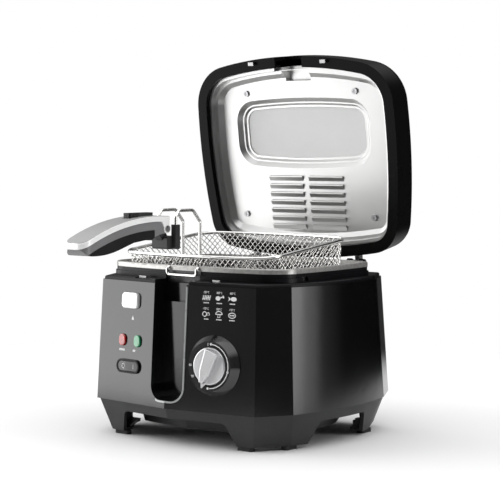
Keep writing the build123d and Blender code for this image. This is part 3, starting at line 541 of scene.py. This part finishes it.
class Face:
    """A flat half of the front panel: square to one joint's axis, through a point over another joint."""

    def __init__(self, square_to, through, lift):
        self.out = -Vector(JOINTS[square_to]["axis"]).normalized()
        self.origin = Vector(JOINTS[through]["pos_m"]) + self.out * lift
        self.right = Vector((-self.out.y, self.out.x, 0)).normalized()
        self.up = self.out.cross(self.right)

    def at(self, x, z):
        """The point of the panel at this x and z."""
        rise = (z - self.origin.z) / self.up.z
        along = (x - self.origin.x - rise * self.up.x) / self.right.x
        return self.origin + self.right * along + self.up * rise


class Ink:
    """Flat printed shapes on a face, gathered into one mesh. Shapes are in millimetres from a spot."""

    def __init__(self, face, spot, lift=0.0):
        self.face, self.spot, self.lift = face, spot, lift
        self.verts = []
        self.faces = []

    def point(self, x, y, height):
        flat = (self.face.right * x + self.face.up * y) * MM
        return self.spot + flat + self.face.out * (self.lift + height)

    def shape(self, outline, shift=(0, 0)):
        """A filled outline, counter-clockwise, with the thickness of the ink."""
        first, count = len(self.verts), len(outline)
        for height in (-INK, INK):
            self.verts += [self.point(x + shift[0], y + shift[1], height) for x, y in outline]
        self.faces.append(tuple(range(first + count, first + 2 * count)))
        self.faces.append(tuple(range(first + count - 1, first - 1, -1)))
        for k in range(count):
            a, b = first + k, first + (k + 1) % count
            self.faces.append((a, b, b + count, a + count))

    def bar(self, x, y, width, height):
        self.shape([(x, y), (x + width, y), (x + width, y + height), (x, y + height)])

    def line(self, points, width):
        """A stroke of constant width through the points."""
        left, right = [], []
        for k, (x, y) in enumerate(points):
            x0, y0 = points[max(k - 1, 0)]
            x1, y1 = points[min(k + 1, len(points) - 1)]
            size = hypot(x1 - x0, y1 - y0)
            nx, ny = -(y1 - y0) / size * width / 2, (x1 - x0) / size * width / 2
            left.append((x + nx, y + ny))
            right.append((x - nx, y - ny))
        for k in range(len(points) - 1):
            self.shape([right[k], right[k + 1], left[k + 1], left[k]])

    def arc(self, x, y, radius, start, end, width, tall=1.0):
        """A stroke along a circle, from start to end in degrees, squeezed to tall times its height."""
        steps = max(4, int(abs(end - start) / 12))
        turns = [radians(start + (end - start) * k / steps) for k in range(steps + 1)]
        self.line([(x + radius * cos(t), y + radius * sin(t) * tall) for t in turns], width)

    def dot(self, x, y, radius, tall=1.0):
        turns = [2 * pi * k / 14 for k in range(14)]
        self.shape([(x + radius * cos(t), y + radius * sin(t) * tall) for t in turns])

    def digits(self, text, x, y, height):
        """Plain seven-stroke digits."""
        wide, stroke, gap = height * 0.55, height * 0.16, height * 0.28
        segments = {"a": ((0, 1), (1, 1)), "b": ((1, 1), (1, 0.5)), "c": ((1, 0.5), (1, 0)),
                    "d": ((0, 0), (1, 0)), "e": ((0, 0.5), (0, 0)), "f": ((0, 1), (0, 0.5)),
                    "g": ((0, 0.5), (1, 0.5))}
        shapes = {"0": "abcdef", "1": "bc", "5": "afgcd", "6": "afgedc", "7": "abc", "8": "abcdefg",
                  "9": "abcdfg", "C": "afed"}
        for k, letter in enumerate(text):
            left = x + k * (wide + gap)
            for segment in shapes[letter]:
                ends = [(left + u * wide, y + v * height) for u, v in segments[segment]]
                self.line(ends, stroke)
        return x + len(text) * (wide + gap)

    def done(self, name, body="root"):
        return add_piece(name, self.verts, self.faces, body, PRINT_WHITE, smooth=False)


ROCKER_DEEP = 3 * MM   # the rocker's axis lies this far behind the panel
ROCKER_LIFT = 1.66 * MM
RIGHT_FACE = Face("thermostat_turn", "thermostat_turn", 0.0)
LEFT_FACE = Face("button_press", "power_rocker", ROCKER_DEEP)


def middle_of(node):
    low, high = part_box(node)
    return (low + high) / 2


def food_icon(ink, x, y, kind):
    """A small pictogram of something to fry."""
    if kind == "chips":
        for k in range(5):
            ink.line([(x - 4 + 1.9 * k, y - 2.2), (x - 3.0 + 1.9 * k, y + 2.4)], 0.9)
        ink.line([(x - 4.6, y - 1.0), (x + 4.8, y + 0.6)], 0.9)
    elif kind == "drumstick":
        ink.dot(x - 1.6, y, 2.7, 0.8)
        ink.line([(x, y + 0.4), (x + 4.0, y + 1.6)], 1.1)
        ink.dot(x + 4.2, y + 2.2, 0.8)
        ink.dot(x + 4.6, y + 1.0, 0.8)
    elif kind == "fish":
        ink.dot(x + 1.2, y, 3.4, 0.62)
        ink.shape([(x - 1.6, y), (x - 4.8, y + 2.2), (x - 4.0, y), (x - 4.8, y - 2.2)][::-1])
    elif kind == "rings":
        ink.arc(x - 1.4, y, 2.2, 0, 360, 0.8)
        ink.arc(x + 2.6, y, 1.4, -60, 240, 0.7)
    elif kind == "mushroom":
        ink.arc(x, y + 0.4, 3.6, 0, 180, 0.8, 0.8)
        ink.line([(x - 3.6, y + 0.4), (x + 3.6, y + 0.4)], 0.8)
        stalk = [(x - 1.2, y + 0.4), (x - 1.2, y - 2.6), (x + 1.2, y - 2.6), (x + 1.2, y + 0.4)]
        ink.line(stalk, 0.7)
    else:
        ink.arc(x, y, 3.9, 0, 360, 0.7, 0.62)
        for k in range(3):
            ink.dot(x - 1.9 + 1.9 * k, y, 0.7)


ICON_COLUMNS = (43.5, 58.2, 72.8)
ICON_ROWS = (145.0, 129.5)
ICON_KINDS = (("chips", "drumstick", "fish"), ("rings", "mushroom", "loaf"))
ICON_HEAT = (("190", "180", "160"), ("170", "150", "170"))


def print_food_table():
    """Two rows of food pictograms with a temperature over each and a caption bar under it."""
    corner = RIGHT_FACE.at(0.0, 0.1)
    ink = Ink(RIGHT_FACE, corner)
    scale_x, scale_z = 1 / RIGHT_FACE.right.x, 1 / RIGHT_FACE.up.z
    for row, z in enumerate(ICON_ROWS):
        for column, x in enumerate(ICON_COLUMNS):
            u, v = x * scale_x, (z - 100) * scale_z
            food_icon(ink, u, v, ICON_KINDS[row][column])
            end = ink.digits(ICON_HEAT[row][column], u - 3.8, v + 4.4, 1.7)
            ink.arc(end + 0.3, v + 5.8, 0.35, 0, 360, 0.2)
            ink.digits("C", end + 1.6, v + 4.4, 1.7)
            for k in range(4):
                ink.bar(u - 3.0 + 1.6 * k, v - 5.2, 1.2, 1.0)
    steam_x, steam_z = 35.0 * scale_x, 15.0 * scale_z
    for k in (-1, 0, 1):
        ink.arc(steam_x + 1.5 * k, steam_z + 1.8 - abs(k), 1.1, 60, 300, 0.55, 1.6)
    for k in range(3):
        ink.bar(steam_x - 2.8 + 2.0 * k, steam_z - 3.6, 1.5, 0.9)
    ink.done("food_print")


def print_left_labels():
    """Open-lid triangle over the lamps, and a caption bar under each lamp."""
    button, red, green = (middle_of(n) for n in ("release_button", "red_lamp", "green_lamp"))
    ink = Ink(LEFT_FACE, LEFT_FACE.at(button.x + 0.0025, button.z - 0.017))
    ink.shape([(-2.0, -1.8), (2.0, -1.8), (0, 2.2)])
    ink.done("lid_arrow_print")
    for name, lamp, letters in (("red", red, 4), ("green", green, 6)):
        ink = Ink(LEFT_FACE, LEFT_FACE.at(lamp.x - 0.001, lamp.z - 0.0098))
        width = letters * 2.05
        for k in range(letters):
            ink.bar(-width / 2 + 2.05 * k, -1.0, 1.55, 2.0)
        ink.done(name + "_lamp_caption")


DIAL_FRONT = 8.8 * MM
DIAL_ARC_R = 21.0


def print_dial():
    """Scale printed on the flat of the knob ring: a sweep from twelve to six, with dots and figures."""
    ink = Ink(RIGHT_FACE, Vector(JOINTS["thermostat_turn"]["pos_m"]), DIAL_FRONT)
    ink.arc(0, 0, DIAL_ARC_R, 86, -88, 0.85)
    for clock in (0.1, 3.4, 6.1):
        turn = radians(90 - 30 * clock)
        ink.dot(DIAL_ARC_R * cos(turn), DIAL_ARC_R * sin(turn), 1.15)
    ink.digits("1", -3.6, DIAL_ARC_R - 1.6, 2.6)
    for clock, text in ((9.0, "60"), (8.0, "90")):
        turn = radians(90 - 30 * clock)
        ink.digits(text, DIAL_ARC_R * cos(turn) - 1.7, DIAL_ARC_R * sin(turn) - 0.9, 1.8)
    ink.done("dial_print")


def print_rocker():
    """The generic 0 and I on the rocker."""
    out, spot = LEFT_FACE.out, LEFT_FACE.origin
    rocker_face = Face("button_press", "power_rocker", ROCKER_DEEP)
    tip = radians(4.0)
    rocker_face.out = (out * cos(tip) + rocker_face.right * sin(tip)).normalized()
    rocker_face.right = (rocker_face.right * cos(tip) - out * sin(tip)).normalized()
    ink = Ink(rocker_face, spot, ROCKER_LIFT)
    ink.arc(-6.2, 0, 1.7, 0, 360, 0.55, 1.35)
    ink.line([(7.4, -2.3), (7.4, 2.3)], 0.6)
    ink.done("rocker_print", "power_switch")


print_food_table()
print_left_labels()
print_dial()
print_rocker()


# ================================================================ floor
FLOOR_RADIUS = 0.95
FLOOR_SOLID = 0.45   # opaque out to here
FLOOR_CLEAR = 0.85   # and gone from here on
FLOOR_SIDES = 96


def make_floor():
    """A pale round floor that fades out at its edge."""
    radius, solid, clear = FLOOR_RADIUS, FLOOR_SOLID, FLOOR_CLEAR
    mesh = bpy.data.meshes.new("floor")
    turns = [2 * pi * k / FLOOR_SIDES for k in range(FLOOR_SIDES)]
    ring = [(radius * cos(turn), radius * sin(turn), 0.0) for turn in turns]
    mesh.from_pydata(ring, [], [tuple(range(FLOOR_SIDES))])
    floor_piece = bpy.data.objects.new("floor", mesh)
    bpy.context.scene.collection.objects.link(floor_piece)
    look = Shader("floor", (0.86, 0.86, 0.86), 0.6, Specular_IOR_Level=0.2)
    length = look.nodes.new("ShaderNodeVectorMath")
    length.operation = "LENGTH"
    look.link(look.place, length.inputs[0])
    fade = look.spread(length.outputs["Value"], 1.0, 0.0, solid, clear, smooth=True)
    look.link(fade, look.bsdf.inputs["Alpha"])
    mesh.materials.append(look.material)


make_floor()


# ================================================================ lights
# brightness of the studio by compass direction: -1 and 1 behind, -0.5 left, 0 front, 0.5 right
STUDIO = [(-1.00, 0.00), (-0.62, 0.04), (-0.52, 0.55), (-0.40, 1.00), (-0.26, 1.00), (-0.18, 0.10),
          (-0.10, 0.02), (0.05, 0.02), (0.45, 0.01), (0.53, 0.02), (0.57, 1.00), (0.61, 0.92), (0.66, 0.36),
          (0.72, 0.04), (0.80, 0.00), (1.00, 0.00)]
WALL_GLOW = 4.6
TOP_GLOW = 1.75


def make_studio():
    """Soft boxes drawn on the world by direction, and plain white where the camera sees past the floor."""
    world = bpy.data.worlds.new("studio")
    bpy.context.scene.world = world
    world.use_nodes = True
    nodes, links = world.node_tree.nodes, world.node_tree.links
    nodes.clear()

    def math(operation, first, second=None):
        node = nodes.new("ShaderNodeMath")
        node.operation = operation
        for socket, value in zip(node.inputs, (first, second)):
            if value is None:
                continue
            if isinstance(value, (int, float)):
                socket.default_value = value
            else:
                links.new(value, socket)
        return node.outputs[0]

    def ease(value, start, end, low, high):
        node = nodes.new("ShaderNodeMapRange")
        node.interpolation_type = "SMOOTHSTEP"
        links.new(value, node.inputs["Value"])
        for socket, number in zip(("From Min", "From Max", "To Min", "To Max"), (start, end, low, high)):
            node.inputs[socket].default_value = number
        return node.outputs["Result"]

    direction = nodes.new("ShaderNodeTexCoord").outputs["Generated"]
    split = nodes.new("ShaderNodeSeparateXYZ")
    links.new(direction, split.inputs[0])
    x, y, z = split.outputs
    compass = math("DIVIDE", math("ARCTAN2", x, math("MULTIPLY", y, -1.0)), 2 * pi)
    ramp = nodes.new("ShaderNodeValToRGB")
    ramp.color_ramp.interpolation = "EASE"
    links.new(math("ADD", compass, 0.5), ramp.inputs[0])
    stops = ramp.color_ramp.elements
    while len(stops) > 1:
        stops.remove(stops[-1])
    for k, (place, glow) in enumerate(STUDIO):
        stop = stops[0] if k == 0 else stops.new(place / 2 + 0.5)
        stop.position = place / 2 + 0.5
        stop.color = (glow, glow, glow, 1.0)
    tall = ease(z, 0.35, 0.75, 1.0, 0.0)
    walls = math("MULTIPLY", math("MULTIPLY", ramp.outputs["Color"], tall), WALL_GLOW)
    top = ease(z, 0.45, 0.8, 0.0, TOP_GLOW)
    light = nodes.new("ShaderNodeBackground")
    light.inputs["Color"].default_value = (1.0, 1.0, 1.0, 1.0)
    links.new(math("ADD", walls, top), light.inputs["Strength"])
    backdrop = nodes.new("ShaderNodeBackground")
    backdrop.inputs["Color"].default_value = (1.0, 1.0, 1.0, 1.0)
    backdrop.inputs["Strength"].default_value = 1.0
    seen = nodes.new("ShaderNodeLightPath")
    blend = nodes.new("ShaderNodeMixShader")
    links.new(seen.outputs["Is Camera Ray"], blend.inputs[0])
    links.new(light.outputs[0], blend.inputs[1])
    links.new(backdrop.outputs[0], blend.inputs[2])
    links.new(blend.outputs[0], nodes.new("ShaderNodeOutputWorld").inputs["Surface"])
    world.cycles.sampling_method = "MANUAL"
    world.cycles.sample_map_resolution = 512


make_studio()


# ================================================================ camera
CAMERA_AT = (1.0573, -1.3244, 0.2820)
CAMERA_TURN = (86.69, -0.15, 38.42)
CAMERA_LENS = 120.0


def make_camera():
    data = bpy.data.cameras.new("camera")
    data.lens = CAMERA_LENS
    data.sensor_width = 36.0
    data.clip_start = 0.01
    data.clip_end = 50.0
    camera = bpy.data.objects.new("camera", data)
    camera.location = CAMERA_AT
    camera.rotation_euler = [radians(turn) for turn in CAMERA_TURN]
    bpy.context.scene.collection.objects.link(camera)
    bpy.context.scene.camera = camera


make_camera()
view = bpy.context.scene.view_settings
view.view_transform = "Standard"
view.look = "None"
